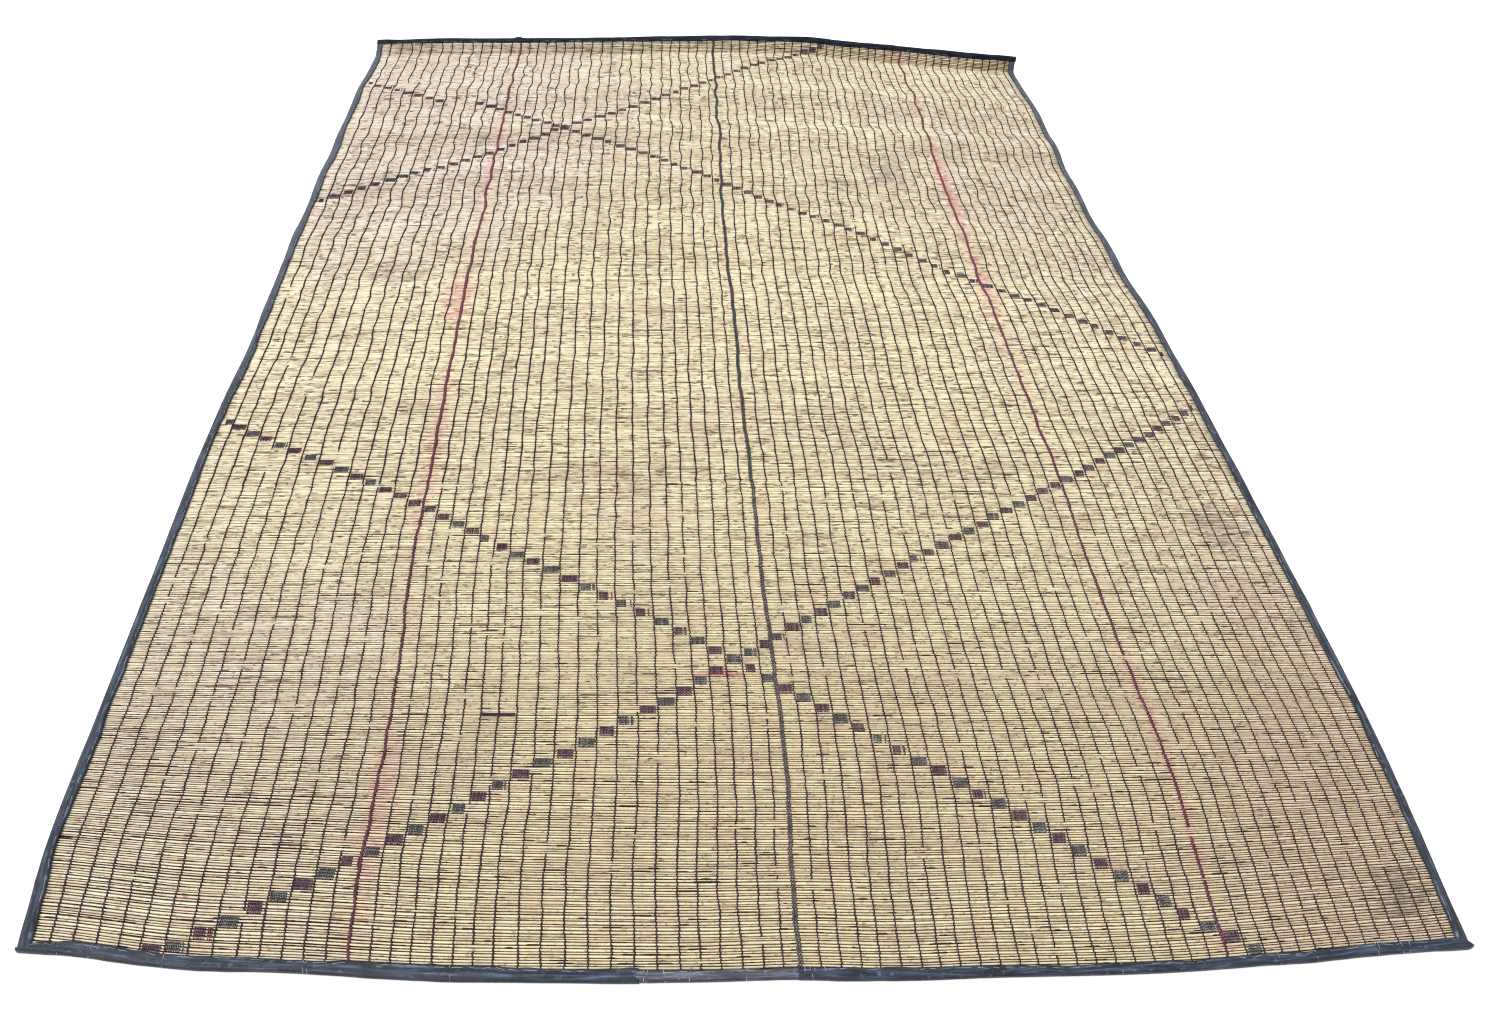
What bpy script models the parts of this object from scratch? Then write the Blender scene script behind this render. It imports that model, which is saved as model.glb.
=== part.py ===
"""A floor mat of reeds laced together with leather, about 2 m by 3.1 m, with leather strips folded
over its four edges. The reeds lie across it and the laces run along it. It lies on the floor in low
waves, as a mat that is kept rolled does, and its far end is turned up. Metres, +Z up. The near edge
faces -Y, and the origin is on the floor at the middle of the mat's box."""

import math
from collections import namedtuple

import bmesh
import bpy
from mathutils import Vector

# Thicknesses of the reed sheet and of the leather, and the air that parts two pieces
SHEET = 0.004
LEATHER = 0.0012
AIR = 0.0003
LAYER = LEATHER + AIR

# Leather strips: how far they cover the sheet, and their cut-back outer corner
COVER = 0.018
CORNER = 0.0016

# The far strip is folded a little looser, because the end under it twists
TWIST_SLACK = 0.0002

# The sheet's rim rests on the leather, and ramps down to the floor inwards of it
RIM = 0.024
RAMP_END = 0.070

# The middle of the mat's box, from the plan's own origin at the near edge
MIDDLE_X = 0.001
MIDDLE_Y = 1.548

# Lengths along the mat, from its near edge
LENGTH = 3.108
CREASE = 3.045
CURL_RADIUS = 0.015
CURL_STEPS = (0.007, 0.014, 0.021)

# Laces: how far some of them lie from the left edge, where the mat is as wide as its mean
Lace = namedtuple("Lace", "number from_left")
LACE_ROWS = (
    Lace(0, 0.040),
    Lace(4, 0.159),
    Lace(8, 0.284),
    Lace(13, 0.430),
    Lace(20, 0.623),
    Lace(28, 0.876),
    Lace(33, 1.018),
    Lace(34, 1.041),
    Lace(47, 1.405),
    Lace(53, 1.576),
    Lace(56, 1.658),
    Lace(57, 1.690),
    Lace(62, 1.824),
    Lace(69, 2.006),
)
LACES = 70
MEAN_WIDTH = 2.04

# A lace stands above the reeds, and more where it is the coloured or the double one
RIB = 0.0009
BOLD_RIB = 0.0014
BOLD_LACES = (13, 34, 56)

# The plan: a reed's two ends, and its sweep. bow is how far a reed's ends 1 m out lie ahead of its
# middle, and tilt how far its right end lies ahead.
Plan = namedtuple("Plan", "along left right bow tilt")
PLAN = (
    Plan(0.00, -0.990, 0.992, 0.046, -0.018),
    Plan(0.16, -1.008, 1.005, 0.038, -0.018),
    Plan(0.42, -1.013, 1.022, 0.008, -0.004),
    Plan(0.77, -1.019, 1.027, -0.005, 0.018),
    Plan(1.12, -1.026, 1.028, -0.012, 0.033),
    Plan(1.52, -1.019, 1.023, -0.032, 0.045),
    Plan(1.92, -1.023, 1.003, -0.050, 0.050),
    Plan(2.32, -1.020, 0.997, -0.057, 0.038),
    Plan(2.72, -1.018, 1.003, -0.066, 0.036),
    Plan(CREASE, -1.008, 0.991, -0.090, 0.050),
)

# Waves that run across the mat, one after the other: half the length of each, and its height at
# the left edge, in the middle and at the right edge
Wave = namedtuple("Wave", "half left middle right")
FIRST_WAVE = 1.15
WAVES = (
    Wave(0.15, 0.003, 0.002, 0.003),
    Wave(0.16, 0.003, 0.004, 0.005),
    Wave(0.16, 0.005, 0.005, 0.007),
    Wave(0.14, 0.008, 0.004, 0.006),
    Wave(0.12, 0.004, 0.006, 0.010),
    Wave(0.15, 0.006, 0.006, 0.004),
)

# The turned-up end: its angle to the floor, from the left edge at -1 to the right one at 1
TurnUp = namedtuple("TurnUp", "across degrees")
TURN_UP = (
    TurnUp(-1.0, 25.0),
    TurnUp(-0.5, 32.0),
    TurnUp(0.0, 42.0),
    TurnUp(0.5, 57.0),
    TurnUp(1.0, 80.0),
)

REED_COLOUR = (0.62, 0.49, 0.28, 1.0)
LEATHER_COLOUR = (0.035, 0.045, 0.060, 1.0)

# Steps that a slope of the surface is measured over
ACROSS_STEP = 0.002
ALONG_STEP = 0.001


def read(table, column, place):
    """A column's value at a place given by the first column, on a smooth curve through the rows."""
    places = [row[0] for row in table]
    values = [getattr(row, column) for row in table]
    last = len(table) - 1
    place = min(max(place, places[0]), places[last])
    upper = next(i for i in range(1, last + 1) if place <= places[i])

    def slope(i):
        before, after = max(i - 1, 0), min(i + 1, last)
        return (values[after] - values[before]) / (places[after] - places[before])

    span = places[upper] - places[upper - 1]
    t = (place - places[upper - 1]) / span
    start, end = values[upper - 1], values[upper]
    leave, arrive = slope(upper - 1) * span, slope(upper) * span
    return (
        start * (2 * t**3 - 3 * t**2 + 1)
        + leave * (t**3 - 2 * t**2 + t)
        + end * (3 * t**2 - 2 * t**3)
        + arrive * (t**3 - t**2)
    )


def smooth_fall(distance, start, end):
    """1 up to start, 0 from end on, and a smooth fall between."""
    t = min(max((distance - start) / (end - start), 0), 1)
    return 1 - t * t * (3 - 2 * t)


def width(along):
    at = min(along, CREASE)
    return read(PLAN, "right", at) - read(PLAN, "left", at)


def inwards(side, along, distance):
    """The place across the mat that lies a distance in from its left (-1) or right (1) edge."""
    return side * (1 - 2 * distance / width(along))


def wave_height(across, along):
    start = FIRST_WAVE
    for wave in WAVES:
        t = (along - start) / wave.half - 1
        start += 2 * wave.half
        if abs(t) >= 1:
            continue
        height = (
            wave.left * (across**2 - across) / 2
            + wave.middle * (1 - across**2)
            + wave.right * (across**2 + across) / 2
        )
        return height * (1 + math.cos(math.pi * t)) / 2
    return 0.0


def turned_up(across, past):
    """Reach and rise, at a distance past the crease, of the curl and the straight strip after it."""
    angle = math.radians(read(TURN_UP, "degrees", across))
    curled = min(past, angle * CURL_RADIUS)
    turned = curled / CURL_RADIUS
    straight = past - curled
    reach = CURL_RADIUS * math.sin(turned) + straight * math.cos(angle)
    rise = CURL_RADIUS * (1 - math.cos(turned)) + straight * math.sin(angle)
    return reach, rise


def ground(across, along):
    """The surface that the mat's lowest layer lies on. across runs from -1 at the left edge to 1 at
    the right one, and along is the distance from the near edge, measured on the mat."""
    at = min(along, CREASE)
    x = read(PLAN, "left", at) + width(at) * (across + 1) / 2
    reach, rise = turned_up(across, max(along - CREASE, 0))
    y = at + read(PLAN, "tilt", at) * x + read(PLAN, "bow", at) * x * x + reach
    return Vector((x - MIDDLE_X, y - MIDDLE_Y, wave_height(across, along) + rise))


def lie(across, along, lift):
    """The point that is lifted off the ground surface, square to it, at a place on the mat."""
    over = ground(across + ACROSS_STEP, along) - ground(across - ACROSS_STEP, along)
    onward = ground(across, along + ALONG_STEP) - ground(across, along - ALONG_STEP)
    return ground(across, along) + over.cross(onward).normalized() * lift


def side_rim(across, along):
    """1 where the mat's side rim rests on leather, and 0 in its body."""
    return smooth_fall((1 - abs(across)) * width(along) / 2, RIM, RAMP_END)


def end_rim(along):
    return smooth_fall(min(along, LENGTH - along), RIM, RAMP_END)


def sheet_bottom(across, along):
    return LAYER * (side_rim(across, along) + end_rim(along))


def sheet_top(across, along):
    return sheet_bottom(across, along) + SHEET


def lace_across(number):
    return 2 * read(LACE_ROWS, "from_left", number) / MEAN_WIDTH - 1


def rows_along():
    """The cross-sections that every piece shares: rims, wave troughs and crests, crease and curl."""
    rows = [LAYER, RIM, RAMP_END, 0.45, 0.85]
    start = FIRST_WAVE
    for wave in WAVES:
        rows += [start, start + wave.half]
        start += 2 * wave.half
    rows += [start, CREASE] + [CREASE + step for step in CURL_STEPS]
    return rows + [LENGTH - RIM, LENGTH - LAYER]


def rib_height(number, along):
    """How far a lace stands up: not at the sides, nor where it passes under the leather at the ends."""
    if number not in range(1, LACES - 1) or end_rim(along) > 0.5:
        return 0.0
    return BOLD_RIB if number in BOLD_LACES else RIB


def places_across(along):
    """The sheet's left side, the inner end of its rim, all laces, and the same on the right."""
    left = [inwards(-1, along, inset) for inset in (LAYER, RIM)]
    right = [inwards(1, along, inset) for inset in (RIM, LAYER)]
    return left + [lace_across(number) for number in range(LACES)] + right


def sheet_places():
    """Which of those places the sheet's cross-section has points at, on its top from left to right
    and on its underside from right to left. A half is midway between two laces."""
    top = [0, 1] + [2 + i / 2 for i in range(2 * LACES - 1)] + [LACES + 2, LACES + 3]
    under = [LACES + 3, LACES + 2, LACES + 1] + list(range(LACES, 1, -2)) + [1, 0]
    return top, under


def sheet_section(along):
    """One cross-section of the reed sheet: its ribbed top, then its underside."""
    places = places_across(along)
    top, under = sheet_places()
    section = []
    for place in top:
        across = (places[math.floor(place)] + places[math.ceil(place)]) / 2
        rib = rib_height(place - 2, along)
        section.append(lie(across, along, sheet_top(across, along) + rib))
    for place in under:
        section.append(lie(places[place], along, sheet_bottom(places[place], along)))
    return section


def sheet_caps():
    """The sheet's cut ends as short faces side by side, as lists of a cross-section's points: each
    joins two points of the underside to the run of the top above them."""
    top, under = sheet_places()
    return [
        list(range(top.index(left), top.index(right) + 1)) + [len(top) + i, len(top) + i + 1]
        for i, (right, left) in enumerate(zip(under, under[1:]))
    ]


def folded_outline(bottom, top):
    """The outline of a strip folded over a rim between two heights, as pairs of the distance from
    the outer edge and the height: outside first, from the upper cut edge round to the lower one."""
    high, low = top + LAYER, bottom - LAYER
    return (
        (COVER, high),
        (CORNER, high),
        (0, high - CORNER),
        (0, low + CORNER),
        (CORNER, low),
        (COVER, low),
        (COVER, low + LEATHER),
        (LEATHER, low + LEATHER),
        (LEATHER, high - LEATHER),
        (COVER, high - LEATHER),
    )


def side_section(side, along):
    """One cross-section of a side strip."""
    rim = inwards(side, along, LAYER)
    outline = folded_outline(sheet_bottom(rim, along), sheet_top(rim, along))
    return [lie(inwards(side, along, inset), along, lift) for inset, lift in outline]


def end_section(across, far):
    """One cross-section of the near or the far strip, which laps over the ends of the side strips."""
    rim = LENGTH - LAYER if far else LAYER
    away = LAYER * side_rim(across, rim) + (TWIST_SLACK if far else 0)
    outline = folded_outline(sheet_bottom(across, rim) - away, sheet_top(across, rim) + away)
    return [lie(across, LENGTH - inset if far else inset, lift) for inset, lift in outline]


def material(name, colour, roughness):
    made = bpy.data.materials.new(name)
    made.use_nodes = True
    shader = made.node_tree.nodes["Principled BSDF"]
    shader.inputs["Base Color"].default_value = colour
    shader.inputs["Roughness"].default_value = roughness
    made.diffuse_color = colour
    return made


def lofted(name, sections, finish, collection, caps=None):
    """A closed body through cross-sections that have as many points each. Each end is closed by one
    face, or by those that caps lists."""
    form = bmesh.new()
    loops = [[form.verts.new(point) for point in section] for section in sections]
    for loop, following in zip(loops, loops[1:]):
        for i in range(len(loop)):
            form.faces.new((loop[i - 1], loop[i], following[i], following[i - 1]))
    for loop in (loops[0], loops[-1]):
        for cap in caps or [range(len(loop))]:
            form.faces.new([loop[i] for i in cap])
    bmesh.ops.recalc_face_normals(form, faces=form.faces)
    # Two pieces that twist side by side keep their distance only if their faces split alike
    bmesh.ops.triangulate(form, faces=form.faces, quad_method="SHORT_EDGE")
    mesh = bpy.data.meshes.new(name)
    form.to_mesh(mesh)
    form.free()
    mesh.materials.append(finish)
    piece = bpy.data.objects.new(name, mesh)
    collection.objects.link(piece)
    return piece


def main():
    for old in list(bpy.data.objects):
        bpy.data.objects.remove(old, do_unlink=True)
    mat = bpy.data.collections.new("reed_floor_mat")
    bpy.context.scene.collection.children.link(mat)
    reed = material("pale_reed", REED_COLOUR, 0.6)
    leather = material("dark_leather", LEATHER_COLOUR, 0.5)

    rows = rows_along()
    lofted("reed_mat", [sheet_section(along) for along in rows], reed, mat, sheet_caps())
    for name, side in (("left_binding", -1), ("right_binding", 1)):
        lofted(name, [side_section(side, along) for along in rows], leather, mat)
    for name, far, rim in (("near_binding", False, LAYER), ("far_binding", True, LENGTH - LAYER)):
        places = [-1.0] + places_across(rim) + [1.0]
        lofted(name, [end_section(across, far) for across in places], leather, mat)


main()
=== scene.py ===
"""Looks of a floor mat of reeds laced together with leather thongs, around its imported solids. Metres,
+Z up, in the solids' own frame: the near edge faces -Y, the reeds lie along X and the laces along Y."""

import math
from collections import namedtuple
from functools import partial, reduce

import bpy
import numpy as np
from mathutils import Matrix, Vector


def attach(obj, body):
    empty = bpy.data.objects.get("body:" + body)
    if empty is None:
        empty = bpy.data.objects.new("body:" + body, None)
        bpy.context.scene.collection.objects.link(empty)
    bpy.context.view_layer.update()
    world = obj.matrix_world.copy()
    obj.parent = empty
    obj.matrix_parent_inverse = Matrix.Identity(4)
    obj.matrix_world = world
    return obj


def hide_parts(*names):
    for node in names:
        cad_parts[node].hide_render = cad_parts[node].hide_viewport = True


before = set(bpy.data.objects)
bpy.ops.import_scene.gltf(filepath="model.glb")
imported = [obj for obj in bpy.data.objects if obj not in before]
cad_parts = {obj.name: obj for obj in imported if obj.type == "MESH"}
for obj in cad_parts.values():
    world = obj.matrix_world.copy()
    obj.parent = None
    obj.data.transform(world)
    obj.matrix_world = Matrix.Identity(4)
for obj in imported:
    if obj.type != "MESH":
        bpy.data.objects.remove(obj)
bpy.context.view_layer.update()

# Sizes that the solids have too: the sheet's and the leather's thickness, the air between them, how far
# the leather is folded over and under, how far from its rim the sheet still rests on the leather and
# where it has come down from it, the middle of the box, the sheet's length along the laces, where it
# turns up and how sharply, and its mean width along the reeds
SHEET = 0.004
LEATHER = 0.0012
AIR = 0.0003
LAYER = LEATHER + AIR
COVER = 0.018
RIM = 0.024
RAMP_END = 0.070
MIDDLE_X = 0.001
MIDDLE_Y = 1.548
LENGTH = 3.108
CREASE = 3.045
CURL_RADIUS = 0.015
MEAN_WIDTH = 2.04

# The plan: a reed's two ends, its sweep and its slant, by the distance along the mat
Plan = namedtuple("Plan", "along left right bow tilt")
PLAN = (
    Plan(0.00, -0.990, 0.992, 0.046, -0.018),
    Plan(0.16, -1.008, 1.005, 0.038, -0.018),
    Plan(0.42, -1.013, 1.022, 0.008, -0.004),
    Plan(0.77, -1.019, 1.027, -0.005, 0.018),
    Plan(1.12, -1.026, 1.028, -0.012, 0.033),
    Plan(1.52, -1.019, 1.023, -0.032, 0.045),
    Plan(1.92, -1.023, 1.003, -0.050, 0.050),
    Plan(2.32, -1.020, 0.997, -0.057, 0.038),
    Plan(2.72, -1.018, 1.003, -0.066, 0.036),
    Plan(CREASE, -1.008, 0.991, -0.090, 0.050),
)
Wave = namedtuple("Wave", "half left middle right")
FIRST_WAVE = 1.15
WAVES = (
    Wave(0.15, 0.003, 0.002, 0.003),
    Wave(0.16, 0.003, 0.004, 0.005),
    Wave(0.16, 0.005, 0.005, 0.007),
    Wave(0.14, 0.008, 0.004, 0.006),
    Wave(0.12, 0.004, 0.006, 0.010),
    Wave(0.15, 0.006, 0.006, 0.004),
)
TurnUp = namedtuple("TurnUp", "across degrees")
TURN_UP = (
    TurnUp(-1.0, 25.0),
    TurnUp(-0.5, 32.0),
    TurnUp(0.0, 42.0),
    TurnUp(0.5, 57.0),
    TurnUp(1.0, 80.0),
)

# Laces, numbered from the left, with the sheet's own sides as -1 and 70
Lace = namedtuple("Lace", "number from_left")
LACE_ROWS = (
    Lace(-1, 0.004),
    Lace(0, 0.040),
    Lace(4, 0.159),
    Lace(8, 0.284),
    Lace(13, 0.430),
    Lace(20, 0.623),
    Lace(28, 0.876),
    Lace(33, 1.018),
    Lace(34, 1.041),
    Lace(47, 1.405),
    Lace(53, 1.576),
    Lace(56, 1.658),
    Lace(57, 1.690),
    Lace(62, 1.824),
    Lace(69, 2.006),
    Lace(70, 2.036),
)
LACES = 70

# How far the laces drift to the right of their place, in millimetres, as the mat goes away. The places
# across are those of the still left side, the five columns, six tenths of the last one, and the still
# right side
DRIFT_ACROSS = (-1.0, -0.92, -0.58, 0.02, 0.30, 0.64, 0.88, 1.0)
Drift = namedtuple("Drift", "along outer_left left middle right outer_right")
DRIFT = (
    Drift(0.07, 1, 6, 9, 11, 8),
    Drift(0.31, 2, 9, 12, 17, 11),
    Drift(0.55, 1, 5, 5, 2, -2),
    Drift(0.79, -2, -4, -1, -6, -5),
    Drift(1.03, -2, -1, -2, -5, -1),
    Drift(1.27, -4, -4, -8, -15, -6),
    Drift(1.51, -6, -10, -10, -12, -7),
    Drift(1.75, -5, -7, -6, -8, -5),
    Drift(1.99, 0, -1, -4, 1, 3),
    Drift(2.30, 6, -1, 2, 10, 2),
    Drift(2.95, 1, 1, 4, 13, 2),
)

# How far the near edge lies inside its plain curve, in millimetres, and outside it where negative
EdgeShift = namedtuple("EdgeShift", "across inward")
NEAR_EDGE = (
    EdgeShift(-1.0, 0.0),
    EdgeShift(-0.94, 0.5),
    EdgeShift(-0.80, -6.5),
    EdgeShift(-0.64, -4.0),
    EdgeShift(-0.48, -5.5),
    EdgeShift(-0.30, -2.5),
    EdgeShift(-0.12, -0.5),
    EdgeShift(0.03, 3.5),
    EdgeShift(0.16, 0.0),
    EdgeShift(0.30, 1.0),
    EdgeShift(0.55, -2.5),
    EdgeShift(0.82, 1.5),
    EdgeShift(1.0, 0.0),
)
EDGE_REACH = 0.35

# How far the turned-up end lies outside its plain curve, or inside it where negative, and how far above
# it, in millimetres
EndShift = namedtuple("EndShift", "across outward up")
FAR_END = (
    EndShift(-1.0, 0, 0),
    EndShift(-0.82, 0, 0),
    EndShift(-0.69, -10, 0),
    EndShift(-0.55, -16, 0),
    EndShift(-0.36, -19, 0),
    EndShift(-0.23, -12, 0),
    EndShift(-0.12, -3, 0),
    EndShift(0.0, 0, 2),
    EndShift(0.10, 0, 6.5),
    EndShift(0.22, 0, 7),
    EndShift(0.34, 0, 9.5),
    EndShift(0.42, 0, 4),
    EndShift(0.50, 0, 1.5),
    EndShift(0.60, 0, 0),
    EndShift(0.74, -7, 0),
    EndShift(0.88, -8, 0),
    EndShift(0.97, 0, 0),
    EndShift(1.0, 0, 0),
)
END_REACH = (2.60, CREASE)

# Reeds: how many, where the first and the last lie, how much of a stem's thickness its edges may shift
# by, how many are made finely, up to which one the middle piece goes, and how high their feet lie
REEDS = 720
END = 0.004
PITCH = (LENGTH - 2 * END) / REEDS
STEM_SHIFT = 0.30
FINE_REEDS = 232
MIDDLE_REEDS = 476
FOOT = 0.0005

# Laces: how deep they dive between the stems and under a few of them, how much lower their sides are
# than their crown, and which are coloured. A part's steps are reed numbers along the mat
DIVE = 0.0012
UNDER_STEM = 0.0035
LACE_SIDE = 0.0006
MAGENTA_LACES = [13, 56]
DOUBLE_LACE = 34
LacePart = namedtuple("LacePart", "steps dives zigzag bare wide_in_gap wide_on_stem top")
FINE_LACE = LacePart(np.arange(0, 2 * FINE_REEDS + 1) / 2, True, 0.0005, 0.6, 1.12, 0.88, 0.93)
COARSE_LACE = LacePart(np.arange(FINE_REEDS, REEDS - 1, 2.0), False, 0.0003, 0.16, 1.0, 1.0, 0.97)

# Coloured blocks, in steps of one lace space each: Step(first lace of the space, along)
Step = namedtuple("Step", "cell along")
BLOCK_LINES = {
    "near_falling": (
        Step(-1, 1.203), Step(16, 0.869), Step(32, 0.537), Step(48, 0.213), Step(56, 0.045),
        Step(57, 0.024),
    ),
    "near_rising": (
        Step(4, 0.0215), Step(5, 0.030), Step(16, 0.243), Step(31, 0.554), Step(43, 0.773), Step(55, 0.994),
        Step(69, 1.245),
    ),
    "far_falling": (
        Step(-1, 2.810), Step(6, 2.680), Step(10, 2.666), Step(25, 2.385), Step(33, 2.208),
        Step(44, 1.986), Step(53, 1.780), Step(69, 1.449),
    ),
    "far_rising": (
        Step(-1, 2.123), Step(8, 2.275), Step(17, 2.464), Step(31, 2.796), Step(38, 2.960), Step(40, 3.000),
        Step(42, 3.028), Step(43, 3.045), Step(44, 3.061), Step(45, 3.071), Step(46, 3.084),
    ),
}

# Spaces of the line far_falling whose blocks are worn away, how far apart a block's thin thongs lie,
# half of their width, and where a block starts beside the left leather
WORN_AWAY = (7, 8, 9)
WRAP_PITCH = 0.0023
WRAP_HALF = 0.0010
BESIDE_LEATHER = 0.016

# Leather strips: which node each stands for, where it starts and ends, how wide it lies over the
# reeds, up to where another strip laps over it, and where its random wrinkles start. The near edge's
# strips meet at the joints, and the far strip has a knot
Strip = namedtuple("Strip", "name node kind start end cover lap seed leather")
TIP = 0.005
KNOT = 0.426
JOINTS = (0.823, 1.045)
LAP = 0.02
NO_LAP = -1
STRIPS = (
    Strip(
        "left_leather", "left_binding", "left", LAYER, LENGTH - LAYER,
        0.0164, NO_LAP, 41, "blue_leather",
    ),
    Strip(
        "right_leather", "right_binding", "right", LAYER, LENGTH - LAYER,
        0.0174, NO_LAP, 51, "slate_leather",
    ),
    Strip("near_leather_left", "near_binding", "near", 0.0, JOINTS[0], 0.0176, NO_LAP, 61, "dark_leather"),
    Strip(
        "near_leather_middle", "near_binding", "near", JOINTS[0] - LAP, JOINTS[1],
        0.0164, JOINTS[0], 65, "grey_leather",
    ),
    Strip(
        "near_leather_right", "near_binding", "near", JOINTS[1] - LAP, MEAN_WIDTH + TIP,
        0.0164, JOINTS[1], 71, "dark_leather",
    ),
    Strip("far_leather", "far_binding", "far", 0.0, MEAN_WIDTH, 0.0168, NO_LAP, 81, "black_leather"),
)

# How far apart the shape of a strip is worked out, how far in from the cut edge the stitches run, and
# half of a thread's thickness
STATION = 0.0054
SEAM = 0.0034
THREAD = 0.0004

# Camera, as the photograph was taken, with its turns in degrees and its lens in millimetres
EYE = (-0.198, -2.2805, 1.546)
TURN, PITCH_UP, ROLL = -7.21, 47.4, 5.75
LENS = 28.8
FILM = 36.0


# The surface that the mat lies on


def read(table, column, place):
    """A column's value at places given by the first column, on a smooth curve through the rows."""
    places = np.array([row[0] for row in table], float)
    values = np.array([getattr(row, column) for row in table], float)
    last = len(table) - 1
    order = np.arange(last + 1)
    before, after = np.maximum(order - 1, 0), np.minimum(order + 1, last)
    slopes = (values[after] - values[before]) / (places[after] - places[before])
    place = np.clip(place, places[0], places[last])
    row = np.clip(np.searchsorted(places, place, side="right") - 1, 0, last - 1)
    span = places[row + 1] - places[row]
    t = (place - places[row]) / span
    return (
        values[row] * (2 * t**3 - 3 * t**2 + 1)
        + slopes[row] * span * (t**3 - 2 * t**2 + t)
        + values[row + 1] * (3 * t**2 - 2 * t**3)
        + slopes[row + 1] * span * (t**3 - t**2)
    )


def smooth_fall(distance, start, end):
    """1 up to start, 0 from end on."""
    t = np.clip((distance - start) / (end - start), 0, 1)
    return 1 - t * t * (3 - 2 * t)


def smooth_rise(distance, start, end):
    """0 up to start, 1 from end on."""
    return smooth_fall(-distance, -end, -start)


def width(along):
    """The mat's width at distances along it."""
    at = np.minimum(along, CREASE)
    return read(PLAN, "right", at) - read(PLAN, "left", at)


def inwards(side, along, distance):
    """The place across at a distance in from the left side, -1, or the right one, 1."""
    return side * (1 - 2 * distance / width(along))


def wave_height(across, along):
    """The low waves that cross the mat, each a little different at its left, middle and right."""
    height = np.zeros(np.broadcast(across, along).shape)
    start = FIRST_WAVE
    for wave in WAVES:
        t = (along - start) / wave.half - 1
        start += 2 * wave.half
        crest = (
            wave.left * (across**2 - across) / 2
            + wave.middle * (1 - across**2)
            + wave.right * (across**2 + across) / 2
        )
        height += np.where(np.abs(t) < 1, crest * (1 + np.cos(math.pi * t)) / 2, 0)
    return height


def ground(across, along):
    """Points under the mat by their place across, -1 to 1, and their distance along it."""
    at = np.minimum(along, CREASE)
    x = read(PLAN, "left", at) + width(at) * (across + 1) / 2
    past = np.maximum(along - CREASE, 0)
    angle = np.radians(read(TURN_UP, "degrees", across))
    curled = np.minimum(past, angle * CURL_RADIUS)
    turned, straight = curled / CURL_RADIUS, past - curled
    reach = CURL_RADIUS * np.sin(turned) + straight * np.cos(angle)
    rise = CURL_RADIUS * (1 - np.cos(turned)) + straight * np.sin(angle)
    y = at + read(PLAN, "tilt", at) * x + read(PLAN, "bow", at) * x * x + reach
    at_far_end = 1 - smooth_fall(at, *END_REACH)
    y += read(NEAR_EDGE, "inward", across) / 1000 * smooth_fall(at, 0, EDGE_REACH)
    y += read(FAR_END, "outward", across) / 1000 * at_far_end
    z = wave_height(across, along) + rise + read(FAR_END, "up", across) / 1000 * at_far_end
    return np.stack(np.broadcast_arrays(x - MIDDLE_X, y - MIDDLE_Y, z), -1)


def lie(across, along, lift):
    """Points lifted off the ground surface, square to it."""
    over = ground(across + 0.002, along) - ground(across - 0.002, along)
    onward = ground(across, along + 0.001) - ground(across, along - 0.001)
    square = np.cross(over, onward)
    square /= np.linalg.norm(square, axis=-1, keepdims=True)
    return ground(across, along) + square * np.asarray(lift)[..., None]


def sheet_bottom(across, along):
    """The sheet's rims rest on the leather that is folded round them."""
    side = smooth_fall((1 - np.abs(across)) * width(along) / 2, RIM, RAMP_END)
    end = smooth_fall(np.minimum(along, LENGTH - along), RIM, RAMP_END)
    return LAYER * (side + end)


# Randomness, laces' places and mesh making


def wander(seed, places, spacing, amount, rows=None):
    """Smooth random offsets at places, one line of them or several."""
    places = np.asarray(places, float) / spacing
    first, last = math.floor(places.min()), math.ceil(places.max())
    shape = (last - first + 2,) if rows is None else (rows, last - first + 2)
    values = np.random.default_rng(seed).uniform(-amount, amount, shape)
    i = np.floor(places).astype(int) - first
    t = places - np.floor(places)
    t = t * t * (3 - 2 * t)
    return values[..., i] * (1 - t) + values[..., i + 1] * t


def stem_edges():
    """How far along the mat each stem starts and ends: no two are quite as thick."""
    shift = np.random.default_rng(26).uniform(-STEM_SHIFT, STEM_SHIFT, REEDS + 1)
    shift[[0, -1]] = 0
    return END + PITCH * (np.arange(REEDS + 1) + shift)


def place_of(steps):
    """How far along the mat a reed number lies."""
    return np.interp(steps, np.arange(REEDS + 1), stem_edges())


def lace_places(along):
    """The place across the mat of each lace and side, -1 to 70, at each distance along it."""
    numbers = np.arange(-1, LACES + 1)
    base = np.interp(numbers, [row.number for row in LACE_ROWS], [row.from_left for row in LACE_ROWS])
    base = 2 * base / MEAN_WIDTH - 1
    columns = [read(DRIFT, name, along) for name in Drift._fields[1:]]
    still = np.zeros_like(along)
    columns = [still] + columns + [0.6 * columns[-1], still]
    drift = np.stack([np.interp(base, DRIFT_ACROSS, row) for row in np.stack(columns, -1)])
    farther = 1 + 1.4 * smooth_rise(along, 1.2, 2.4)
    shared = wander(11, along, 0.055, 1.3) * (0.35 + 0.65 * smooth_rise(along, 0.9, 1.5)) * farther
    slow = wander(12, along, 0.045, 1.3, len(numbers)) * farther
    own = slow + wander(13, along, 0.014, 0.8, len(numbers))
    free = np.minimum(1, (1 - np.abs(base)) / 0.06)
    return base + (drift + (shared[:, None] + own.T) * free) / 1000 * 2 / MEAN_WIDTH


def between(grid):
    """A grid's columns with the means of neighbours put in between them."""
    out = np.empty((grid.shape[0], 2 * grid.shape[1] - 1))
    out[:, ::2] = grid
    out[:, 1::2] = (grid[:, 1:] + grid[:, :-1]) / 2
    return out


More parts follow.
